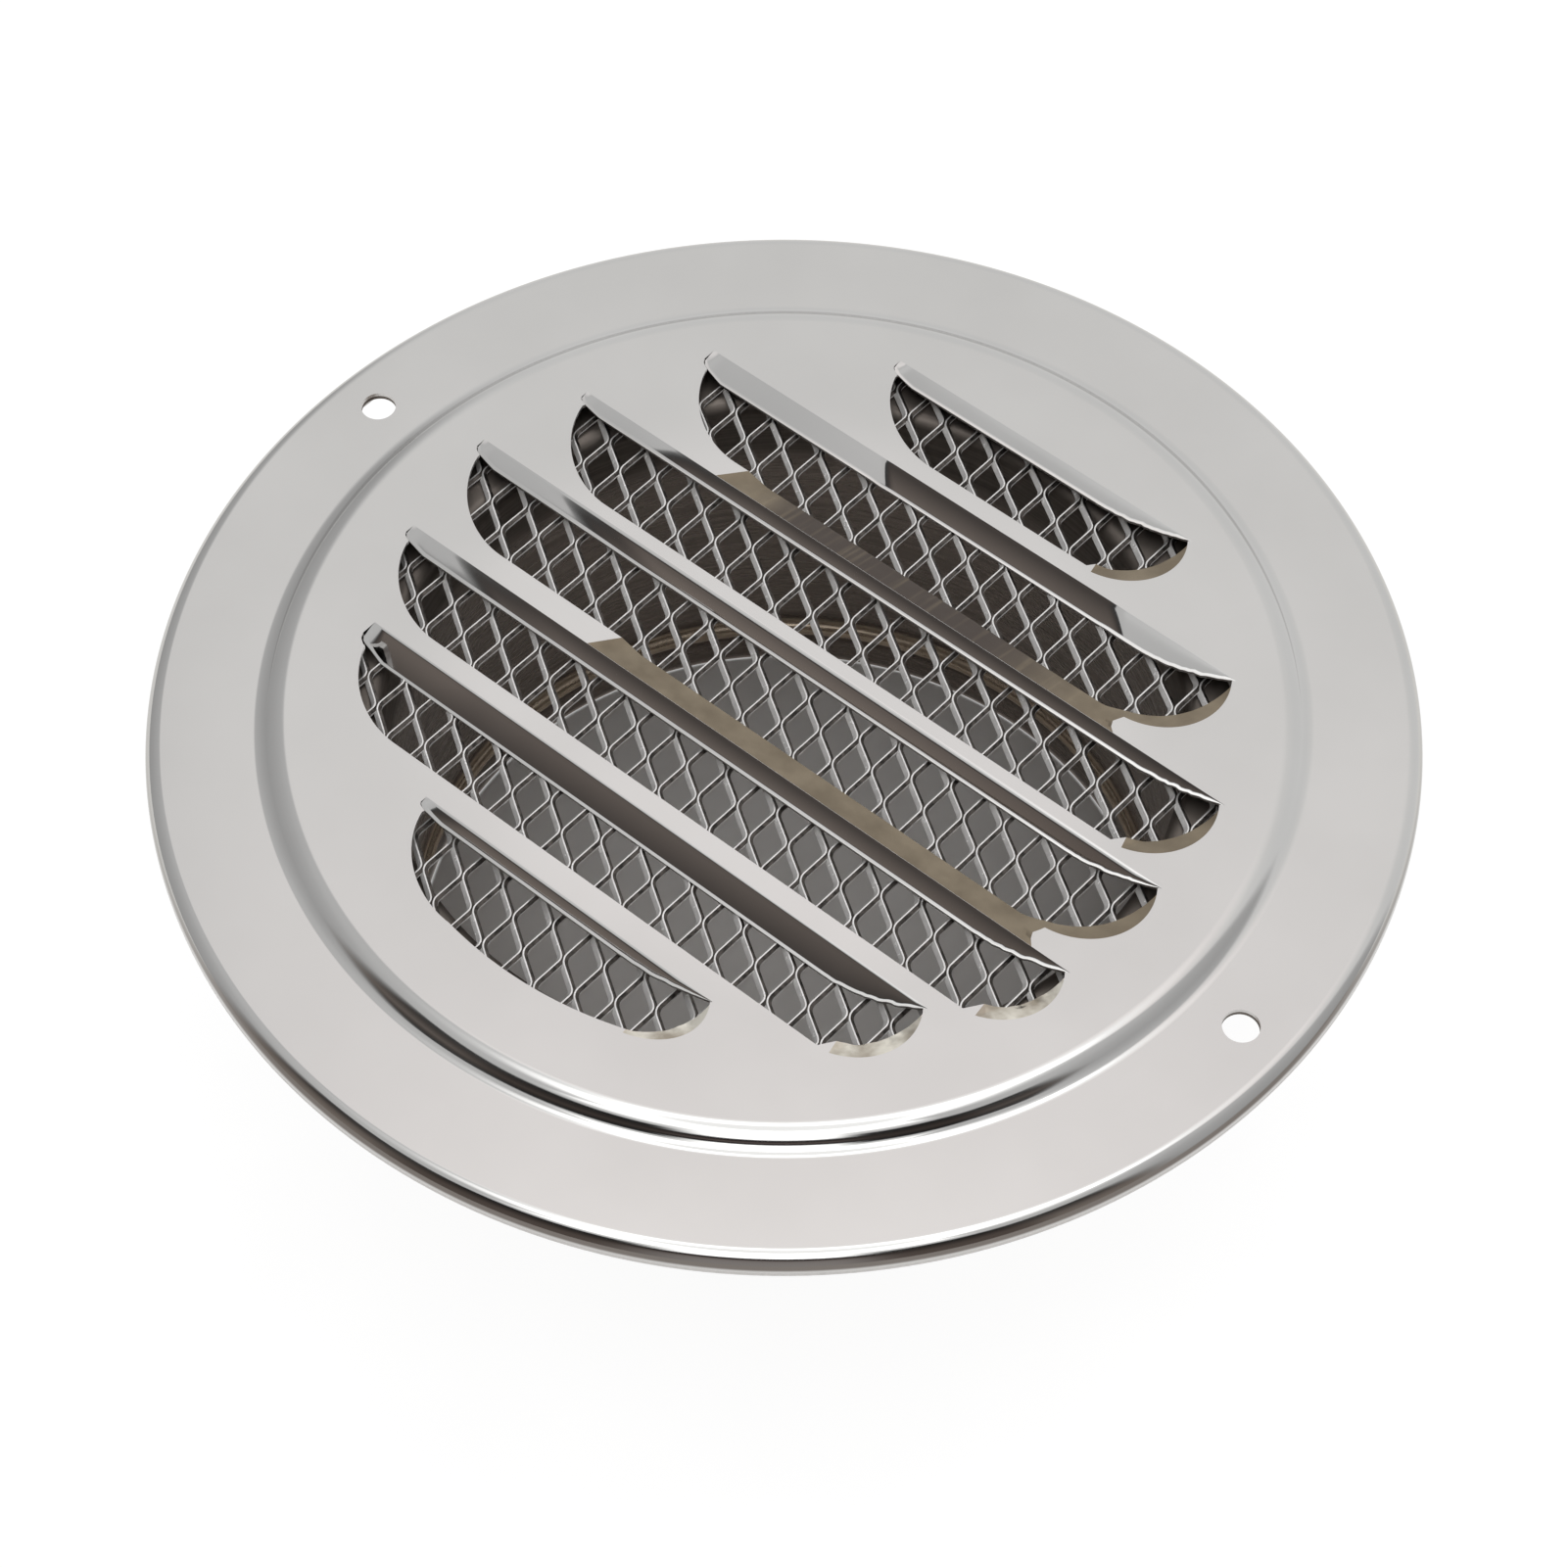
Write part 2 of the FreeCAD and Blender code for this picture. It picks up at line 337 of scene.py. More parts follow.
def flat_fill(surface, outline, holes, height, side):
    """Flat sheet between an outline and its holes, seen from above or from below."""
    loops = [outline] + holes
    triangles = tessellate_polygon([[Vector((p.x, p.y, 0)) for p in loop] for loop in loops])
    points = [Vector((p.x, p.y, height)) for loop in loops for p in loop]
    faces = []
    for a, b, c in triangles:
        area = (points[b] - points[a]).cross(points[c] - points[a]).z
        faces.append((a, b, c) if area * side > 0 else (a, c, b))
    surface.add(points, [UP * side] * len(points), faces)


def cut_wall(surface, line, drop, material):
    """Cut edge of the sheet under a line of points, facing the line's left."""
    for begin, end in zip(line, line[1:]):
        along = end - begin
        facing = Vector((-along.y, along.x, 0))
        low = Vector((0, 0, -drop))
        surface.add([begin, end, end + low, begin + low], [facing] * 4, [(0, 3, 2, 1)], material)


# Louvres

def on_panel(u, v, depth=0.0):
    """Point of the louvre frame as a point of the CAD frame, at a depth below the panel."""
    turn = math.radians(LOUVRE_TURN)
    x = u * math.cos(turn) - v * math.sin(turn)
    y = u * math.sin(turn) + v * math.cos(turn)
    return Vector((x, y, PANEL_TOP - depth))


def turned(u, v, z):
    """Direction of the louvre frame in the CAD frame."""
    return on_panel(u, v, PANEL_TOP - z)


def spaced(begin, end, step):
    """Points from begin up to, but without, end."""
    count = max(1, round((end - begin).length / step))
    return [begin.lerp(end, i / count) for i in range(count)]


def polyline(corners, step):
    """Points along the straight runs between corners."""
    line = []
    for begin, end in zip(corners, corners[1:]):
        line += spaced(begin, end, step)
    return line + [corners[-1]]


def left_end(row):
    """Left-hand end of an opening, from its tip on the bend line down to the near edge."""
    tip = ROW_TIPS[row][0] + LEFT_END_INSET
    bend = ROW_BENDS[row]
    drop = bend - near_edge(row, tip + LEFT_END_LENGTH)
    steps = 24
    points = []
    for i in range(steps + 1):
        angle = math.pi / 2 * i / steps
        across = 1 - math.cos(angle) ** LEFT_END_POWER
        down = math.sin(angle) ** LEFT_END_POWER
        points.append(Vector((tip + LEFT_END_LENGTH * across, bend - drop * down)))
    return points


def near_edge(row, u):
    """Near edge of an opening. That of the last row follows the panel's curve."""
    if row < len(ROW_BENDS) - 1:
        return ROW_NEAR_EDGES[row]
    return -math.sqrt(LAST_ROW_EDGE_RADIUS ** 2 - u * u)


def crescent_crease(row):
    """Outer line of the crescent, from the right tip round to the near edge."""
    tip = ROW_TIPS[row][1]
    bend = ROW_BENDS[row]
    height = bend - near_edge(row, tip - CRESCENT_LENGTHS[row])
    centre = Vector((tip - CRESCENT_CENTRE, bend - CRESCENT_CENTRE_SHARE * height))
    half_height = (1 - CRESCENT_CENTRE_SHARE) * height + CRESCENT_DROPS[row]
    top = math.asin((bend - centre.y) / half_height)
    stop = math.acos(min(1.0, (CRESCENT_CENTRE - CRESCENT_LENGTHS[row]) / CRESCENT_HALF_WIDTH))
    steps = 40
    points = [Vector((tip, bend))]
    for i in range(1, steps + 1):
        angle = top - (top + stop) * i / steps
        across = CRESCENT_HALF_WIDTH * math.cos(angle)
        points.append(centre + Vector((across, half_height * math.sin(angle))))
    return points


def free_end(row):
    """Free edge of the crescent, from the right tip round to the near edge."""
    tip = ROW_TIPS[row][1]
    bend = ROW_BENDS[row]
    height = bend - near_edge(row, tip - FREE_END_LENGTH)
    steps = 36
    points = []
    for i in range(steps + 1):
        angle = math.pi / 2 * i / steps
        burr = BURR * noise.noise(Vector((i * 0.9, row * 7.3, 0.4))) * math.sin(2 * angle)
        across = tip - FREE_END_LENGTH * (1 - math.cos(angle))
        points.append(Vector((across + burr, bend - height * math.sin(angle) + burr)))
    return points


def slat_crease(row):
    """Crease of a slat that is tilted over its whole width: finger end, ridge and slanted left end."""
    tip = ROW_TIPS[row][1]
    edge = ROW_NEAR_EDGES[row]
    ridge = ROW_BENDS[row + 1] + RIDGE_GAP
    begin = TILTED_SLATS[row]
    corners = [Vector((tip - back, edge - down)) for back, down in FINGER]
    corners += [Vector((tip - FINGER_FOOT, ridge)), Vector((begin, ridge))]
    corners.append(Vector((begin + SLANT_RUN, edge)))
    return polyline(corners, SLAT_SPACING)


def pressed_region(row):
    """Crease and free edge of the part of a row that is pressed down."""
    crease = crescent_crease(row)
    free = free_end(row)
    if row in TILTED_SLATS:
        crease = crease + slat_crease(row)
        free = free + spaced(free[-1], crease[-1], SLAT_SPACING)[1:]
        return crease, free
    last = crease[-1]
    end = next(i for i, p in enumerate(free) if p.x <= last.x)
    blunt = spaced(last, free[end], BLUNT_SPACING)
    return crease + blunt[1:] + [free[end]], free[:end]


def distance_to(line, point):
    """Distance of a point from a line of points."""
    best = 1e9
    for begin, end in zip(line, line[1:]):
        along = end - begin
        share = min(max((point - begin).dot(along) / max(along.length_squared, 1e-9), 0.0), 1.0)
        best = min(best, (point - begin - along * share).length_squared)
    return math.sqrt(best)


def add_pressed(surface, row):
    """Pressed-down sheet between a crease and a free edge, sloping away from the crease."""
    crease, free = pressed_region(row)
    steep = math.tan(math.radians(CRESCENT_SLOPES[row]))
    outline = crease + free[:0:-1]
    corner_count = len(outline)
    low = Vector((min(p.x for p in outline), min(p.y for p in outline)))
    high = Vector((max(p.x for p in outline), max(p.y for p in outline)))
    inner = []
    for i in range(int((high.x - low.x) / FILL_STEP) + 1):
        for j in range(int((high.y - low.y) / FILL_STEP) + 1):
            point = low + Vector((i + 0.5 * (j % 2), j)) * FILL_STEP
            if distance_to(outline + outline[:1], point) > FILL_MARGIN * FILL_STEP:
                inner.append(point)
    edges = [(i, (i + 1) % corner_count) for i in range(corner_count)]
    plan, _, triangles, *_ = delaunay_2d_cdt(outline + inner, edges, [], 1, 1e-5)
    # The slanted left end of a slat fades out, so depth isn't measured from it
    sloping = crease[:-SLANT_POINTS] if row in TILTED_SLATS else crease

    def fade(point):
        if row not in TILTED_SLATS:
            return 1.0
        edge, ridge = ROW_NEAR_EDGES[row], ROW_BENDS[row + 1]
        begin = TILTED_SLATS[row] + SLANT_RUN * (point.y - ridge) / (edge - ridge)
        return smooth(point.x, begin, begin + SLAT_FADE)

    def depth(point):
        ripple = CRESCENT_RIPPLES[row] * noise.noise(Vector((point.x * 0.9, point.y * 0.9, row)))
        away = distance_to(sloping, point)
        return away * (steep + ripple * min(away, 1.0))

    points = []
    normals = []
    step_u = Vector((PROBE_REACH, 0))
    step_v = Vector((0, PROBE_REACH))
    for index, point in enumerate(plan):
        probe = point
        if index < corner_count:
            before = outline[index - 1]
            after = outline[(index + 1) % corner_count]
            outward = Vector((-(after - before).y, (after - before).x)).normalized()
            probe = point - outward * PROBE_INSET
        slope_u = (depth(probe + step_u) - depth(probe - step_u)) / (2 * PROBE_REACH)
        slope_v = (depth(probe + step_v) - depth(probe - step_v)) / (2 * PROBE_REACH)
        facing = turned(slope_u * fade(point), slope_v * fade(point), 1.0)
        points.append(on_panel(point.x, point.y, depth(point) * fade(point)))
        normals.append(facing)
    tops = []
    for face in triangles:
        a, b, c = (points[i] for i in face)
        tops.append(face if (b - a).cross(c - a).z > 0 else face[::-1])
    surface.add(points, normals, tops, PRESSED_MATERIALS[row])
    lower = [p - UP * SHEET for p in points]
    surface.add(lower, [-n for n in normals], [face[::-1] for face in tops], SHEET_FINISH)
    rim = [on_panel(p.x, p.y, depth(p) * fade(p)) for p in free]
    cut_wall(surface, rim[::-1], SHEET, EDGE_FINISH)


def lip_section(height, bend, slopes, begin):
    """Points (across, down, slope) of a lip of the seen height: bend, flat, then a thin turned edge."""
    slope = slopes[0]
    angles = [begin + (slope - begin) * i / LIP_BEND_STEPS for i in range(LIP_BEND_STEPS + 1)]
    arc = bend * math.radians(slope - begin) / LIP_BEND_STEPS

    def seen(length, degrees):
        return length * (math.cos(math.radians(degrees)) + SEEN_DOWN * math.sin(math.radians(degrees)))

    bend_seen = sum(seen(arc, angle) for angle in angles[1:])
    edge_seen = seen(LIP_EDGE_WIDTH, LIP_EDGE_SLOPE) + seen(LIP_EDGE_TURN, slope)
    shrink = min(1.0, height / (bend_seen + edge_seen + LIP_LEAST_FLAT))
    flat = max(height / shrink - bend_seen - edge_seen, LIP_LEAST_FLAT) / seen(1.0, slope)
    moves = [(arc, angle) for angle in angles[1:]]
    moves += [(flat / len(slopes), angle) for angle in slopes]
    for share in (0.8, 0.5, 0.1):
        moves.append((LIP_EDGE_TURN / 3, LIP_EDGE_SLOPE + (slope - LIP_EDGE_SLOPE) * share))
    moves += [(LIP_EDGE_WIDTH, LIP_EDGE_SLOPE), (LIP_LAST_LENGTH, LIP_LAST_SLOPE)]
    across, down = 0.0, 0.0
    section = [(across, down, begin)]
    for length, degrees in moves:
        across += shrink * length * math.cos(math.radians(degrees))
        down += shrink * length * math.sin(math.radians(degrees))
        section.append((across, down, degrees))
    return section


def lip_height(row, u):
    """Seen height of a lip, which runs out at both tips and is a little ragged at the right one."""
    left, right = ROW_TIPS[row]
    rise = 0.5 + 0.5 * math.sqrt(min(1.0, max(0.0, u - left + LIP_TONGUE) / LIP_LEFT_RISE))
    fall = min(1.0, (right - u) / LIP_RIGHT_RISE)
    ragged = LIP_RAGGED * noise.noise(Vector((u * 1.1, row * 5.1, 0.2))) * (1 - fall) * fall * 4
    return max(LIP_HEIGHTS[row] * rise * (1 - (1 - fall) ** 2) + ragged, LIP_LEAST_HEIGHT)


def add_lip(surface, row):
    """Lip along the far side of an opening."""
    left, right = ROW_TIPS[row]
    left -= LIP_TONGUE
    count = int((right - left) / LIP_SPACING)
    upper = []
    normals = []
    for i in range(count + 1):
        u = left + (right - left) * i / count
        blend = LIP_TIP_SLOPE + (1 - LIP_TIP_SLOPE) * smooth(u, left, left + LIP_BLEND)
        slopes = []
        for part in range(LIP_PARTS):
            slope = blend * between(LIP_SLOPES[row], u - LIP_SHEARS[row] * part / (LIP_PARTS - 1))
            hollow = smooth(slope, LIP_HOLLOW_START, LIP_HOLLOW_FULL) * LIP_HOLLOWS[row]
            slopes.append(slope + part + hollow * (part - LIP_PARTS // 2))
        begin = LIP_CREASE_SHARE * slopes[0] if LIP_BENDS[row] < LIP_CRISP_BEND else 0.0
        section = lip_section(lip_height(row, u), LIP_BENDS[row], slopes, begin)
        upper.append([on_panel(u, ROW_BENDS[row] - across, down) for across, down, _ in section])
        leans = [math.radians(angle) for _, _, angle in section]
        normals.append([turned(0.0, -math.sin(lean), math.cos(lean)) for lean in leans])
    surface.add_grid(upper, normals, SHEET_FINISH)
    lower = [[p - n * SHEET for p, n in zip(*lines)] for lines in zip(upper, normals)]
    surface.add_grid(lower, [[-n for n in line] for line in normals], SHEET_FINISH)
    edge = [[top[-1], bottom[-1]] for top, bottom in zip(upper, lower)]
    out = [[turned(0.0, -math.cos(LIP_CUT_LEAN), -math.sin(LIP_CUT_LEAN))] * 2] * len(edge)
    surface.add_grid(edge, out, EDGE_FINISH)


def left_tip(row):
    """Edge of the panel round the tongue of a lip, from the bend line to the opening's left end."""
    left = ROW_TIPS[row][0]
    steps = 6
    points = []
    for i in range(steps + 1):
        u = left - LIP_TONGUE + (LIP_TONGUE + LIP_TIP_LENGTH) * i / steps
        points.append(Vector((u, ROW_BENDS[row] - lip_height(row, u))))
    return points


def opening_outline(row):
    """Outline of a row's hole in the flat panel: bend line, left end, near edge and crease."""
    left, right = ROW_TIPS[row]
    bend = ROW_BENDS[row]
    far_left = Vector((left - LIP_TONGUE, bend))
    far = spaced(Vector((right, bend)), far_left, FAR_SPACING) + [far_left]
    end = left_tip(row)
    end += [point for point in left_end(row) if point.y < end[-1].y]
    crease = pressed_region(row)[0]
    near = []
    u = end[-1].x + NEAR_SPACING
    while u < crease[-1].x - NEAR_SPACING / 2:
        near.append(Vector((u, near_edge(row, u))))
        u += NEAR_SPACING
    return far + end + near + crease[:0:-1], end + near + [crease[-1]]


def add_panel(surface):
    """Flat panel with its openings, and the cut walls where nothing is pressed down."""
    holes = []
    for row in range(len(ROW_BENDS)):
        outline, cut = opening_outline(row)
        holes.append([on_panel(p.x, p.y).to_2d() for p in outline])
        cut_wall(surface, [on_panel(p.x, p.y) for p in cut], SHEET, EDGE_FINISH)
    rim = circle(PANEL_RADIUS, FACE_SEGMENTS)
    flat_fill(surface, rim, holes, PANEL_TOP, 1)
    flat_fill(surface, rim, holes, PANEL_TOP - SHEET, -1)


# Pieces

def screw_circles():
    return [circle(SCREW_HOLE_RADIUS, HOLE_SEGMENTS, (sign * SCREW_CIRCLE_RADIUS, 0.0)) for sign in (-1, 1)]


def step_moves():
    """Ogee that carries the panel down to the flange, and the radius where it starts."""
    drop = PANEL_TOP - FLANGE_TOP
    slope = math.acos(1 - drop / (STEP_CROWN_BEND + STEP_FOOT_BEND))
    width = (STEP_CROWN_BEND + STEP_FOOT_BEND) * math.sin(slope)
    degrees = math.degrees(slope)
    moves = [("bend", STEP_CROWN_BEND, -degrees), ("bend", STEP_FOOT_BEND, degrees)]
    return moves, STEP_FOOT_RADIUS - width


STEP_MOVES, PANEL_RADIUS = step_moves()


def add_screw_walls(surface, top, drop, material):
    for loop in screw_circles():
        line = [Vector((p.x, p.y, top)) for p in loop + loop[:1]]
        cut_wall(surface, line, drop, material)


def make_face_plate(materials):
    """Pressed face: panel with its louvres, step, flange and rolled rim."""
    surface = Surface()
    add_panel(surface)
    for row in range(len(ROW_BENDS)):
        add_lip(surface, row)
        add_pressed(surface, row)
    step = bent_path((PANEL_RADIUS, PANEL_TOP), 0.0, STEP_MOVES, bend_step=3.0)
    rim_start = FLANGE_RADIUS - RIM_RADIUS
    skirt = FLANGE_TOP - RIM_BOTTOM - RIM_RADIUS - RIM_CURL_RADIUS
    crown = bent_path((rim_start, FLANGE_TOP), 0.0, [("bend", RIM_RADIUS, -90.0)], bend_step=4.0)
    tuck = FLANGE_RADIUS - 2 * RIM_CURL_RADIUS - RIM_TUCK_RADIUS
    rise = BACK_FLANGE_TOP - SHEET - RIM_BOTTOM - RIM_CURL_RADIUS
    curl_moves = [("run", skirt), ("bend", RIM_CURL_RADIUS, -90.0), ("run", tuck)]
    curl_moves += [("bend", RIM_CURL_RADIUS, -90.0), ("run", rise)]
    curl = bent_path((FLANGE_RADIUS, FLANGE_TOP - RIM_RADIUS), -90.0, curl_moves, bend_step=10.0)
    for side in (1, -1):
        revolve(surface, step, side)
        revolve(surface, crown, side)
        revolve(surface, curl, side, FACE_SEGMENTS, EDGE_FINISH)
        outline = circle(rim_start, FACE_SEGMENTS)
        inner = [circle(STEP_FOOT_RADIUS, FACE_SEGMENTS)] + screw_circles()
        flat_fill(surface, outline, inner, FLANGE_TOP if side > 0 else FLANGE_TOP - SHEET, side)
    add_screw_walls(surface, FLANGE_TOP, SHEET, EDGE_FINISH)
    piece = surface.build("louvred_face", materials)
    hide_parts("face_plate")
    return piece


def make_spigot(material):
    """Drawn collar: tube with its bead, seat of the screen and back flange."""
    surface = Surface()
    bore = SPIGOT_RADIUS - SHEET
    bead_length = 4 * BEAD_BEND * math.sin(math.radians(BEAD_ANGLE))
    above = SEAT_TOP - SPIGOT_BEND - BEAD_HEIGHT - bead_length / 2
    rise = BACK_FLANGE_TOP - SEAT_TOP
    slope = 2 * math.degrees(math.atan2(rise, SEAT_STEP_WIDTH))
    bend = SEAT_STEP_WIDTH / (2 * math.sin(math.radians(slope)))
    moves = [("run", BEAD_HEIGHT - bead_length / 2)]
    moves += [("bend", BEAD_BEND, turn) for turn in (BEAD_ANGLE, -2 * BEAD_ANGLE, BEAD_ANGLE)]
    moves += [("run", above), ("bend", SPIGOT_BEND, -90.0), ("run", SEAT_RADIUS - bore - SPIGOT_BEND)]
    moves += [("bend", bend, slope), ("bend", bend, -slope)]
    collar = bent_path((bore, spigot_low.z), 90.0, moves, bend_step=8.0)
    flange_start = SEAT_RADIUS + SEAT_STEP_WIDTH
    for side in (1, -1):
        revolve(surface, collar, side, SPIGOT_SEGMENTS)
        level = BACK_FLANGE_TOP if side > 0 else BACK_FLANGE_TOP - SHEET
        holes = [circle(flange_start, SPIGOT_SEGMENTS)] + screw_circles()
        flat_fill(surface, circle(BACK_FLANGE_RADIUS, SPIGOT_SEGMENTS), holes, level, side)
    add_screw_walls(surface, BACK_FLANGE_TOP, SHEET, 0)
    foot = bent_path((bore, spigot_low.z), 0.0, [("run", SHEET)])
    ring = [(radius, height, -90) for radius, height, _ in foot]
    revolve(surface, ring[::-1], 1, SPIGOT_SEGMENTS)
    edge = [(BACK_FLANGE_RADIUS, BACK_FLANGE_TOP, 0), (BACK_FLANGE_RADIUS, BACK_FLANGE_TOP - SHEET, 0)]
    revolve(surface, edge, 1, SPIGOT_SEGMENTS)
    piece = surface.build("rolled_spigot", [material])
    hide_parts("spigot")
    return piece


def strand_path(first):
    """Centre line of one zigzag strand with rounded corners, as (point, rise, lean)."""
    period = STRAND_DOWN + STRAND_SLANT
    along = period.normalized()
    sideways = Vector((-along.y, along.x))
    reach = int(SCREEN_RADIUS / period.length) + 2
    corners = []
    for step in range(-reach, reach):
        base = first + period * step
        corners.append((base + sideways * KNUCKLE_OFFSET, 1.0, DOWN_LEAN, SLANT_LEAN))
        corners.append((base + STRAND_SLANT - sideways * KNUCKLE_OFFSET, -1.0, SLANT_LEAN, DOWN_LEAN))
    path = []
    for (before, *_), corner, (after, *_) in zip(corners, corners[1:], corners[2:]):
        here, rise, lean_in, lean_out = corner
        begin = here + (before - here).normalized() * CORNER_RADIUS
        end = here + (after - here).normalized() * CORNER_RADIUS
        for i in range(CORNER_STEPS + 1):
            share = i / CORNER_STEPS
            point = begin.lerp(here, share).lerp(here.lerp(end, share), share)
            path.append((point, rise, lean_in + (lean_out - lean_in) * share))
    return path


def add_strand(surface, run, sideways):
    """One strand: a bar with two sheared sides, swept along its path and leaning as it goes."""
    next_corners = STRAND_RING[1:] + STRAND_RING[:1]
    sides = [(corner, after, [], []) for corner, after in zip(STRAND_RING, next_corners)]
    for i, (point, lean) in enumerate(run):
        heading = (run[min(i + 1, len(run) - 1)][0] - run[max(i - 1, 0)][0]).normalized()
        width = sideways * math.cos(math.radians(lean)) + UP * math.sin(math.radians(lean))
        width = (width - heading * width.dot(heading)).normalized()
        thick = heading.cross(width)
        half_width = width * (STRAND_WIDTH / 2)
        half_thick = thick * (STRAND_THICKNESS / 2)
        for first, second, rows, normals in sides:
            rows.append([point + half_width * a + half_thick * b for a, b in (first, second)])
            facing = width * (second[1] - first[1]) + thick * (first[0] - second[0])
            normals.append([facing, facing])
    for first, second, rows, normals in sides:
        sheared = first[0] == second[0]
        surface.add_grid(rows, normals, SHEARED_PAINTED_SHADE if sheared else STRAND_FINISH)


def make_screen(materials):
    """Expanded metal: zigzag strands that touch at their knuckles."""
    surface = Surface()
    period = STRAND_DOWN + STRAND_SLANT
    along = period.normalized()
    sideways = Vector((-along.y, along.x, 0))
    lift = KNUCKLE_OFFSET * math.tan(math.radians(SLANT_LEAN))
    limit = SCREEN_RADIUS - STRAND_WIDTH
    spacing = abs(STRAND_SLANT.dot(sideways.to_2d()))
    count = int(2 * SCREEN_RADIUS / spacing) + 2
    for number in range(-count, count):
        first = KNUCKLE + STRAND_SLANT * number
        first -= period * round(first.dot(along) / period.length)
        runs = [[]]
        for point, rise, lean in strand_path(first):
            if point.length < limit:
                runs[-1].append((Vector((point.x, point.y, SCREEN_MIDDLE + lift * rise)), lean))
            elif runs[-1]:
                runs.append([])
        for run in runs:
            if len(run) > 2:
                add_strand(surface, run, sideways)
    piece = surface.build("expanded_screen", materials)
    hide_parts("insect_screen")
    return piece


# Materials

class Nodes:
    """Short way to add nodes to a tree and link them."""

    def __init__(self, tree):
        self.tree = tree
        tree.nodes.clear()

    def add(self, kind, settings=None, **inputs):
        node = self.tree.nodes.new(kind)
        for name, value in (settings or {}).items():
            setattr(node, name, value)
        for name, value in inputs.items():
            self.put(node, name.replace("_", " "), value)
        return node

    def put(self, node, name, value):
        socket = node.inputs[int(name) if name.isdigit() else name]
        if isinstance(value, bpy.types.NodeSocket):
            self.tree.links.new(value, socket)
        else:
            socket.default_value = value

    def math(self, operation, first, second=0.0):
        node = self.add("ShaderNodeMath", {"operation": operation})
        self.put(node, "0", first)
        self.put(node, "1", second)
        return node.outputs[0]

    def dot(self, vector, fixed):
        node = self.add("ShaderNodeVectorMath", {"operation": "DOT_PRODUCT"})
        self.put(node, "0", vector)
        self.put(node, "1", fixed)
        return node.outputs["Value"]

    def scale(self, value, low, high, to_low=0.0, to_high=1.0):
        node = self.add("ShaderNodeMapRange", {"interpolation_type": "SMOOTHSTEP"})
        self.put(node, "Value", value)
        for name, number in zip(("From Min", "From Max", "To Min", "To Max"), (low, high, to_low, to_high)):
            node.inputs[name].default_value = number
        return node.outputs["Result"]

    def ramp(self, value, stops):
        node = self.add("ShaderNodeValToRGB")
        self.put(node, "Fac", value)
        elements = node.color_ramp.elements
        while len(elements) < len(stops):
            elements.new(0.5)
        for element, (place, colour) in zip(elements, stops):
            element.position = place
            element.color = (*colour, 1.0)
        return node.outputs["Color"]

    def mix(self, share, first, second):
        node = self.add("ShaderNodeMix", {"data_type": "RGBA"})
        self.put(node, "0", share)
        self.put(node, "6", first)
        self.put(node, "7", second)
        return node.outputs[2]

    def place(self):
        """Position in the object's own coordinates."""
        return self.add("ShaderNodeTexCoord").outputs["Object"]

    def stretched(self, vector, scale):
        return self.add("ShaderNodeMapping", Vector=vector, Scale=scale).outputs["Vector"]

    def axis_distance(self, vector):
        """Distance of a position from the upright axis."""
        node = self.add("ShaderNodeVectorMath", {"operation": "LENGTH"})
        self.put(node, "0", self.stretched(vector, (1.0, 1.0, 0.0)))
        return node.outputs["Value"]

    def noise(self, vector, scale, detail):
        return self.add("ShaderNodeTexNoise", Vector=vector, Scale=scale, Detail=detail).outputs["Fac"]

    def bump(self, height, strength, distance):
        node = self.add("ShaderNodeBump", Strength=strength, Distance=distance, Height=height)
        return node.outputs["Normal"]

    def choose(self, share, first, second):
        """First shader where the share is 0, second where it is 1."""
        node = self.add("ShaderNodeMixShader", Fac=share)
        self.put(node, "1", first.outputs[0])
        self.put(node, "2", second.outputs[0])
        return node

    def steel(self, **inputs):
        """Surface of a material, as steel."""
        shader = self.add("ShaderNodeBsdfPrincipled", **inputs)
        self.add("ShaderNodeOutputMaterial", Surface=shader.outputs[0])


def grey(level):
    return (level, level, level)


def new_material(name):
    material = bpy.data.materials.new(name)
    material.use_nodes = True
    return material, Nodes(material.node_tree)


# The slats are a little lighter than the rest of the sheet, which takes over between these radii
SLAT_FIELD_START = 34.0
SLAT_FIELD_END = 46.0


def polished_steel():
    """Mirror-bright sheet with a faint grain, slight waviness and handling marks."""
    material, nodes = new_material("polished_steel")
    place = nodes.place()
    cloud = nodes.noise(place, scale=60.0, detail=4.0)
    speck = nodes.noise(place, scale=2500.0, detail=2.0)
    sheet = nodes.ramp(cloud, ((0.3, (0.63, 0.625, 0.615)), (0.7, (0.66, 0.655, 0.645))))
    slats = nodes.ramp(cloud, ((0.3, (0.69, 0.68, 0.67)), (0.7, (0.72, 0.71, 0.70))))
    slatted = nodes.scale(nodes.axis_distance(place), SLAT_FIELD_END * MM, SLAT_FIELD_START * MM)
    tone = nodes.mix(slatted, sheet, slats)
    marks = nodes.math("ADD", cloud, nodes.math("MULTIPLY", speck, 0.3))
    rough = nodes.scale(marks, 0.3, 1.0, to_low=0.05, to_high=0.11)
    wave = nodes.noise(place, scale=18.0, detail=1.0)
    bump = nodes.bump(wave, strength=0.02, distance=0.001)
    nodes.steel(Base_Color=tone, Metallic=1.0, Roughness=rough, Normal=bump)
    return material


def raw_edge():
    """Sheared or rolled edge, left dull."""
    material, nodes = new_material("raw_edge_steel")
    place = nodes.place()
    speck = nodes.noise(place, scale=1500.0, detail=3.0)
    tone = nodes.ramp(speck, ((0.35, (0.62, 0.61, 0.60)), (0.65, (0.80, 0.79, 0.78))))
    rough = nodes.scale(speck, 0.3, 0.7, to_low=0.35, to_high=0.5)
    nodes.steel(Base_Color=tone, Metallic=1.0, Roughness=rough)
    return material


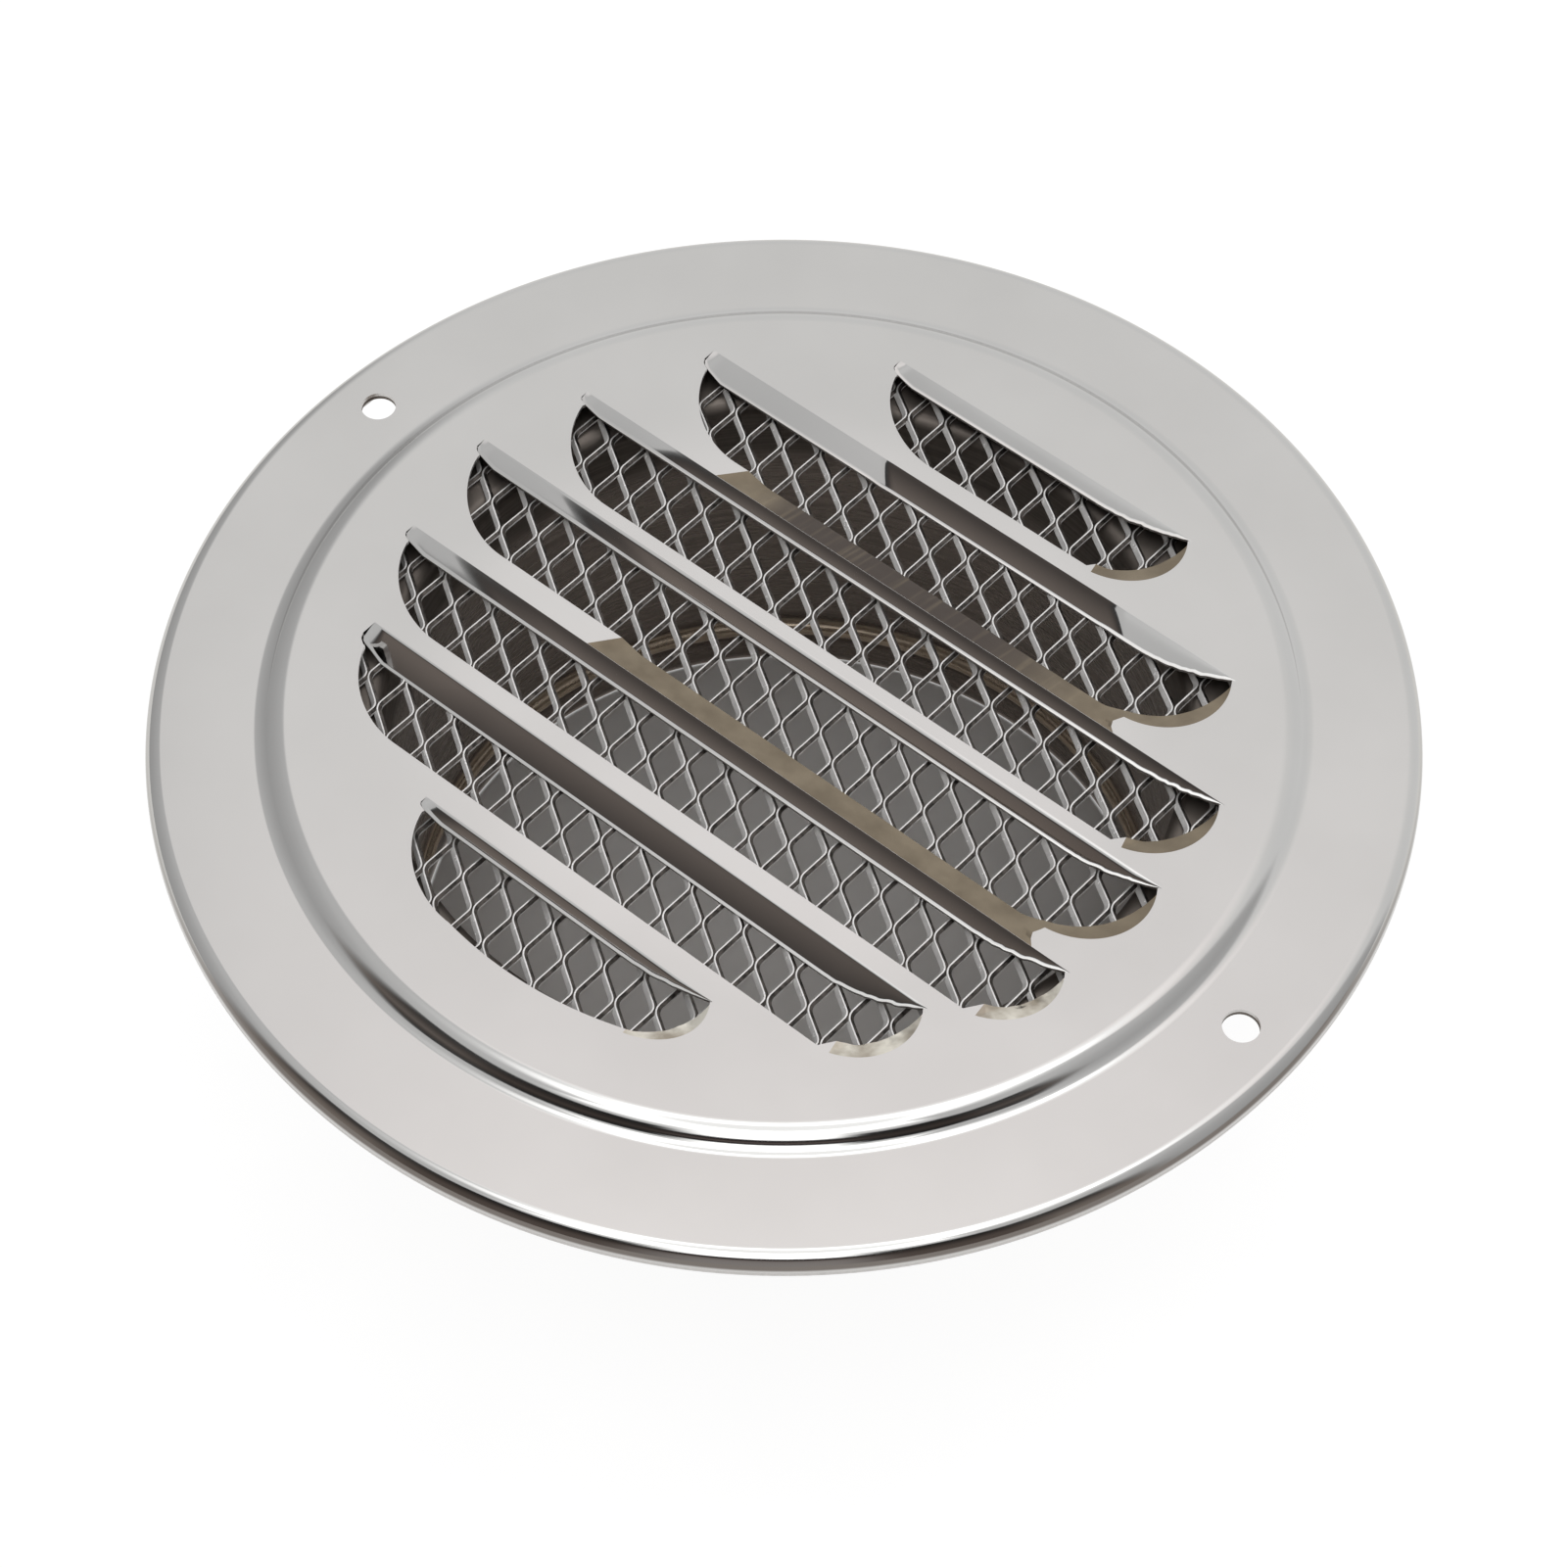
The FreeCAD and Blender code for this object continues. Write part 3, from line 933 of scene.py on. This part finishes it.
# Darkest and lightest tone of the pressed parts, which are painted reflections, and the tone of painted
# shade on a shaded slat
TAN_REFLECTION = ((0.225, 0.185, 0.135), (0.295, 0.245, 0.180))
CREAM_REFLECTION = ((0.42, 0.37, 0.30), (0.95, 0.91, 0.81))
SHADE = (0.105, 0.088, 0.078, 1)
# Along a slat in painted shade, where the shade starts to give way to the painted tan reflection and where
# it is gone, in metres
SHADE_RIGHT = (0.012, 0.03)
SHADE_LEFT = (-0.016, -0.024)


def pressed_steel_painted_light(name, tones, shaded=None):
    """Pressed-down sheet, clouded, with a warm tone that is a painted reflection. A shaded one is painted
    shade but for its ends and streaks, which are painted reflection.
    """
    material, nodes = new_material("pressed_steel_painted_light_" + name)
    place = nodes.place()
    cloud = nodes.noise(place, scale=260.0, detail=3.0)
    tone = nodes.ramp(cloud, ((0.35, tones[0]), (0.65, tones[1])))
    if shaded:
        across = nodes.add("ShaderNodeSeparateXYZ", Vector=place).outputs["X"]
        # Painted tan reflection at both ends of the slat in painted shade
        ends = nodes.math("ADD", nodes.scale(across, *SHADE_RIGHT), nodes.scale(across, *SHADE_LEFT))
        # Streaks of painted reflection across the slat in painted shade
        stretch = nodes.stretched(place, (900.0, 40.0, 40.0))
        painted_reflection_streak = nodes.noise(stretch, scale=1.0, detail=3.0)
        ends = nodes.math("ADD", ends, nodes.scale(painted_reflection_streak, 0.5, 0.75, to_low=0.0, to_high=0.5))
        tone = nodes.mix(ends, shaded, tone)
    rough = nodes.scale(cloud, 0.3, 0.7, to_low=0.10, to_high=0.2)
    nodes.steel(Base_Color=tone, Metallic=1.0, Roughness=rough)
    return material


def face_materials():
    return [
        polished_steel(),
        raw_edge(),
        pressed_steel_painted_light("tan", TAN_REFLECTION),
        pressed_steel_painted_light("cream", CREAM_REFLECTION),
        pressed_steel_painted_light("shaded", TAN_REFLECTION, SHADE),
    ]


def screen_steel():
    """Light, slightly uneven faces of the strands."""
    material, nodes = new_material("screen_steel")
    place = nodes.place()
    cloud = nodes.noise(place, scale=900.0, detail=3.0)
    tone = nodes.ramp(cloud, ((0.3, (0.78, 0.77, 0.76)), (0.7, (0.93, 0.92, 0.91))))
    rough = nodes.scale(cloud, 0.3, 0.7, to_low=0.14, to_high=0.28)
    bump = nodes.bump(cloud, strength=0.15, distance=0.0002)
    nodes.steel(Base_Color=tone, Metallic=0.35, Roughness=rough, Normal=bump)
    return material


def sheared_steel_painted_shade():
    """Dull sides of the strands, torn by the shears, near black in painted shade."""
    material, nodes = new_material("sheared_steel_painted_shade")
    place = nodes.place()
    cloud = nodes.noise(place, scale=1400.0, detail=3.0)
    tone = nodes.ramp(cloud, ((0.35, (0.03, 0.026, 0.023)), (0.65, (0.12, 0.105, 0.095))))
    rough = nodes.scale(cloud, 0.3, 0.7, to_low=0.3, to_high=0.5)
    nodes.steel(Base_Color=tone, Metallic=0.7, Roughness=rough)
    return material


# Painted light on the spigot by eased share of the height: the foot, a painted highlight on the bead between
# two painted shadow lines, the wall in painted shade and the seat in deeper painted shade
SPIGOT_SHADOW_LINE = (0.15, 0.12, 0.10)
SPIGOT_BEAD_HIGHLIGHT = (0.75, 0.62, 0.48)
SPIGOT_WALL_SHADE = (0.36, 0.31, 0.275)
SPIGOT_PAINTED_LIGHT = (
    (0.012, (0.34, 0.29, 0.255)), (0.019, SPIGOT_SHADOW_LINE), (0.026, SPIGOT_BEAD_HIGHLIGHT), (0.055, SPIGOT_BEAD_HIGHLIGHT),
    (0.064, SPIGOT_SHADOW_LINE), (0.085, SPIGOT_WALL_SHADE), (0.80, SPIGOT_WALL_SHADE), (0.90, (0.20, 0.175, 0.155)),
)


def spigot_steel():
    """Rolled sheet with fine lines round the tube, its dark brown tone painted shade, deepest at the seat,
    with a painted highlight on the bead.
    """
    material, nodes = new_material("spigot_steel")
    place = nodes.place()
    stretch = nodes.stretched(place, (60.0, 60.0, 2500.0))
    lines = nodes.noise(stretch, scale=1.0, detail=3.0)
    height = nodes.add("ShaderNodeSeparateXYZ", Vector=place).outputs["Z"]
    level = nodes.scale(height, 0.0, PANEL_TOP * MM)
    # Painted shade down the tube and a painted highlight on the bead, by height
    wall = nodes.ramp(level, SPIGOT_PAINTED_LIGHT)
    tone = nodes.mix(nodes.scale(lines, 0.3, 0.7, to_low=0.0, to_high=0.25), wall, (0.05, 0.04, 0.035, 1))
    dull = nodes.scale(level, 0.84, 0.9, to_low=0.0, to_high=0.25)
    rough = nodes.math("ADD", nodes.scale(lines, 0.3, 0.7, to_low=0.22, to_high=0.34), dull)
    bump = nodes.bump(lines, strength=0.1, distance=0.0001)
    nodes.steel(Base_Color=tone, Metallic=0.8, Roughness=rough, Normal=bump)
    return material


# Studio

# Light tent: range of elevations, peak level, and its sides from the camera's round to the back, each as
# (elevation, colour)
SKY_LOW = -30.0
SKY_HIGH = 90.0
SKY_PEAK = 2.6
SKY_FRONT = (
    (-30, (0.30, 0.28, 0.27)), (15, (0.28, 0.255, 0.245)), (28, (0.25, 0.225, 0.215)),
    (36, (0.10, 0.08, 0.075)), (40, (0.035, 0.025, 0.025)), (43.5, grey(0.035)), (45, grey(0.2)),
    (47, grey(1.5)), (50, grey(2.5)),
)
SKY_CORNER = (
    (-30, (0.12, 0.095, 0.085)), (20, (0.10, 0.08, 0.07)), (40, (0.04, 0.033, 0.03)), (49, grey(0.02)),
    (52, grey(0.02)), (54, grey(0.6)), (60, grey(0.9)), (64, grey(1.8)), (68, grey(2.5)),
)
SKY_LEFT = (
    (-30, (0.30, 0.26, 0.23)), (10, (0.20, 0.17, 0.15)), (20, (0.17, 0.145, 0.13)),
    (38, (0.075, 0.065, 0.06)), (48, grey(0.05)), (50.5, grey(0.06)), (51.5, grey(0.62)),
    (67, grey(0.65)), (71, grey(1.0)), (76, grey(2.5)),
)
SKY_SIDE = (
    (-30, grey(0.42)), (0, grey(0.44)), (30, grey(0.50)), (45, grey(0.55)), (55, grey(0.62)),
    (63, grey(0.66)), (69, grey(0.85)), (74, grey(1.6)), (78, grey(2.5)),
)
SKY_BACK = (
    (-30, grey(0.85)), (10, grey(0.80)), (30, grey(0.80)), (46, (0.835, 0.83, 0.825)),
    (53, (0.92, 0.905, 0.90)), (58.5, (1.01, 0.975, 0.97)), (61, (1.12, 1.08, 1.07)),
    (63, (1.18, 1.14, 1.13)), (67, grey(1.3)), (70, grey(1.9)), (73, grey(2.5)),
)
# Degrees round from the camera over which each side takes over from the one before
SKY_TURNS = (((10, 28), SKY_CORNER), ((52, 64), SKY_LEFT), ((78, 94), SKY_SIDE), ((152, 168), SKY_BACK))
# Round by the right the sides follow one another faster
SKY_RIGHT_PACE = 1.6
# The middle of the roof is less bright, from the first elevation to the second
SKY_ROOF = 1.3
SKY_ROOF_RISE = (77, 83)


def make_world():
    """Light tent: white roof, pale sides and back, and dark towards the camera."""
    world = bpy.data.worlds.new("light_tent")
    world.use_nodes = True
    bpy.context.scene.world = world
    nodes = Nodes(world.node_tree)
    ray = nodes.add("ShaderNodeTexCoord").outputs["Generated"]
    height = nodes.dot(ray, UP)
    elevation = nodes.math("MULTIPLY", nodes.math("ARCSINE", height), math.degrees(1))
    left = nodes.dot(ray, LEFT)
    turn = nodes.math("ARCTAN2", left, nodes.dot(ray, FRONT))
    right_turn = nodes.math("MULTIPLY", turn, -SKY_RIGHT_PACE)
    azimuth = nodes.math("MULTIPLY", nodes.math("MAXIMUM", turn, right_turn), math.degrees(1))
    share = nodes.math("DIVIDE", nodes.math("SUBTRACT", elevation, SKY_LOW), SKY_HIGH - SKY_LOW)

    def band(stops):
        scaled = []
        for angle, colour in stops:
            place = (angle - SKY_LOW) / (SKY_HIGH - SKY_LOW)
            scaled.append((place, tuple(c / SKY_PEAK for c in colour)))
        return nodes.ramp(share, scaled)

    colour = band(SKY_FRONT)
    for turns, stops in SKY_TURNS:
        colour = nodes.mix(nodes.scale(azimuth, *turns), colour, band(stops))
    roof = (*grey(SKY_ROOF / SKY_PEAK), 1)
    colour = nodes.mix(nodes.scale(elevation, *SKY_ROOF_RISE), colour, roof)
    seen = nodes.add("ShaderNodeLightPath").outputs["Is Camera Ray"]
    tent = nodes.add("ShaderNodeBackground", Color=colour, Strength=SKY_PEAK)
    white = nodes.add("ShaderNodeBackground", Color=(1, 1, 1, 1), Strength=1.0)
    both = nodes.choose(seen, tent, white)
    nodes.add("ShaderNodeOutputWorld", Surface=both.outputs[0])


# Floor: half its width, its glow to the camera, and what the steel sees of it. That is pale near the cover.
# From the pale radius to the away radius it turns dark on the camera's side and a little darker behind.
FLOOR_HALF = 1500.0
FLOOR_GLOW = 0.93
FLOOR_PALE_RADIUS = 110.0
FLOOR_AWAY_RADIUS = 160.0
FLOOR_FADE = 100.0
# Width of the border between the floor inside the spigot and outside it
FLOOR_BORDER = 1.0


def make_floor():
    """Plain pale floor: white to the camera but for a faint shadow, and shaded inside the spigot."""
    material, nodes = new_material("pale_floor")
    place = nodes.add("ShaderNodeNewGeometry").outputs["Position"]
    radius = nodes.axis_distance(place)
    outside = nodes.scale(radius, (SPIGOT_RADIUS - FLOOR_BORDER) * MM, SPIGOT_RADIUS * MM)
    to_camera = nodes.add("ShaderNodeLightPath").outputs["Is Camera Ray"]
    cloud = nodes.noise(place, scale=40.0, detail=2.0)
    paper = nodes.ramp(cloud, ((0.3, grey(0.13)), (0.7, grey(0.15))))
    diffuse = nodes.add("ShaderNodeBsdfDiffuse", Color=paper)
    glow = nodes.add("ShaderNodeEmission", Color=(1, 1, 1, 1), Strength=FLOOR_GLOW)
    seen = nodes.add("ShaderNodeAddShader")
    nodes.put(seen, "0", diffuse.outputs[0])
    nodes.put(seen, "1", glow.outputs[0])
    back = nodes.scale(nodes.dot(place, -FRONT), -FLOOR_FADE * MM, FLOOR_FADE * MM)
    away = nodes.ramp(back, ((0.0, (0.30, 0.27, 0.25)), (1.0, (0.85, 0.84, 0.82))))
    far = nodes.scale(radius, FLOOR_PALE_RADIUS * MM, FLOOR_AWAY_RADIUS * MM)
    tone = nodes.mix(far, (0.9, 0.89, 0.88, 1), away)
    bounced = nodes.add("ShaderNodeEmission", Color=tone, Strength=1.0)
    around = nodes.choose(to_camera, bounced, seen)
    inside = nodes.ramp(cloud, ((0.3, (0.68, 0.66, 0.64)), (0.7, (0.72, 0.70, 0.68))))
    shaded = nodes.add("ShaderNodeBsdfDiffuse", Color=inside)
    both = nodes.choose(outside, shaded, around)
    nodes.add("ShaderNodeOutputMaterial", Surface=both.outputs[0])
    mesh = bpy.data.meshes.new("floor")
    half = FLOOR_HALF * MM
    corners = [(-half, -half, 0), (half, -half, 0), (half, half, 0), (-half, half, 0)]
    mesh.from_pydata(corners, [], [(0, 1, 2, 3)])
    mesh.materials.append(material)
    floor = bpy.data.objects.new("floor", mesh)
    bpy.context.scene.collection.objects.link(floor)


def make_camera():
    """Camera of the photo."""
    target = Vector((0, 0, FLANGE_TOP)) * MM
    lift = math.radians(CAMERA_ELEVATION)
    away = FRONT * math.cos(lift) + UP * math.sin(lift)
    right = -LEFT
    above = away.cross(right)
    data = bpy.data.cameras.new("camera")
    data.lens = CAMERA_LENS
    data.sensor_width = 36.0
    data.clip_start = 0.01
    camera = bpy.data.objects.new("camera", data)
    camera.location = target + away * CAMERA_DISTANCE * MM
    look = (-away - above * CAMERA_TILT).normalized()
    camera.rotation_mode = "QUATERNION"
    side = look.cross(above).normalized()
    upright = side.cross(look)
    camera.rotation_quaternion = Matrix((side, upright, -look)).transposed().to_quaternion()
    bpy.context.scene.collection.objects.link(camera)
    bpy.context.scene.camera = camera


def main():
    bpy.context.scene.view_settings.view_transform = "Standard"
    make_camera()
    make_world()
    make_floor()
    pieces = [
        make_face_plate(face_materials()),
        make_screen([screen_steel(), sheared_steel_painted_shade()]),
        make_spigot(spigot_steel()),
    ]
    for piece in pieces:
        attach(piece, "root")


main()
